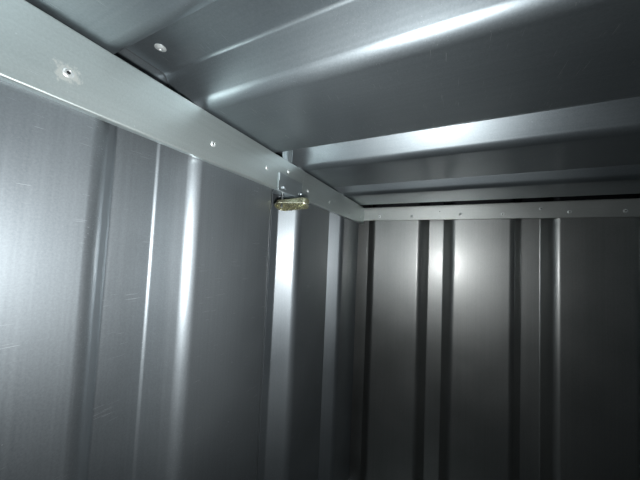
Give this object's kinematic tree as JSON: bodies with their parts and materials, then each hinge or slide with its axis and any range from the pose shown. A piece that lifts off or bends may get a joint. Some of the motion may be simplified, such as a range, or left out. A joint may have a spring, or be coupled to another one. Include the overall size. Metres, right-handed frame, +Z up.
{
  "type": "storage container",
  "caption": "Flat-pack galvanised storage container with ribbed walls and roof, inner top rails with brackets and clamps, and closed double doors.",
  "frame": {"origin": "centre of the footprint at ground level", "axes": "+Z up, doors face -Y, back wall at +Y, +X to the right when facing the back wall"},
  "size_m": [2.18, 3.205, 2.2],
  "materials": {
    "ribbed_sheet": "galvanised, rolled, fine streaks",
    "rail_steel": "galvanised, pale, scratched round the screws",
    "frame_steel": "hot-dip galvanised",
    "door_sheet": "galvanised, rolled",
    "floor_steel": "galvanised, scuffed",
    "yellow_zinc": "zinc plated and yellow passivated",
    "handle_steel": "zinc plated"
  },
  "bodies": {
    "root": {"back_post_left": "frame_steel", "back_post_right": "frame_steel", "back_top_rail": "rail_steel", "back_wall_left": "ribbed_sheet", "back_wall_right": "ribbed_sheet", "base_rail_back": "frame_steel", "base_rail_left": "frame_steel", "base_rail_right": "frame_steel", "door_cover_strip": "door_sheet", "door_handle": "handle_steel", "door_header": "frame_steel", "door_hinges_left": "frame_steel", "door_hinges_right": "frame_steel", "door_leaf_left": "door_sheet", "door_leaf_right": "door_sheet", "door_sill": "frame_steel", "floor_bearers": "frame_steel", "floor_plates": "floor_steel", "front_post_left": "frame_steel", "front_post_right": "frame_steel", "left_rail_brackets": "rail_steel", "left_roof_clamps": "yellow_zinc", "left_roof_ties": "rail_steel", "left_top_rail_back": "rail_steel", "left_top_rail_front": "rail_steel", "left_top_rail_middle": "rail_steel", "left_wall_back": "ribbed_sheet", "left_wall_front": "ribbed_sheet", "left_wall_middle": "ribbed_sheet", "right_rail_brackets": "rail_steel", "right_roof_clamps": "yellow_zinc", "right_roof_ties": "rail_steel", "right_top_rail_back": "rail_steel", "right_top_rail_front": "rail_steel", "right_top_rail_middle": "rail_steel", "right_wall_back": "ribbed_sheet", "right_wall_front": "ribbed_sheet", "right_wall_middle": "ribbed_sheet", "roof_cap_back": "frame_steel", "roof_cap_front": "frame_steel", "roof_cap_left": "frame_steel", "roof_cap_right": "frame_steel", "roof_panel_back": "ribbed_sheet", "roof_panel_front": "ribbed_sheet", "roof_panel_middle": "ribbed_sheet"}
  },
  "joints": []
}
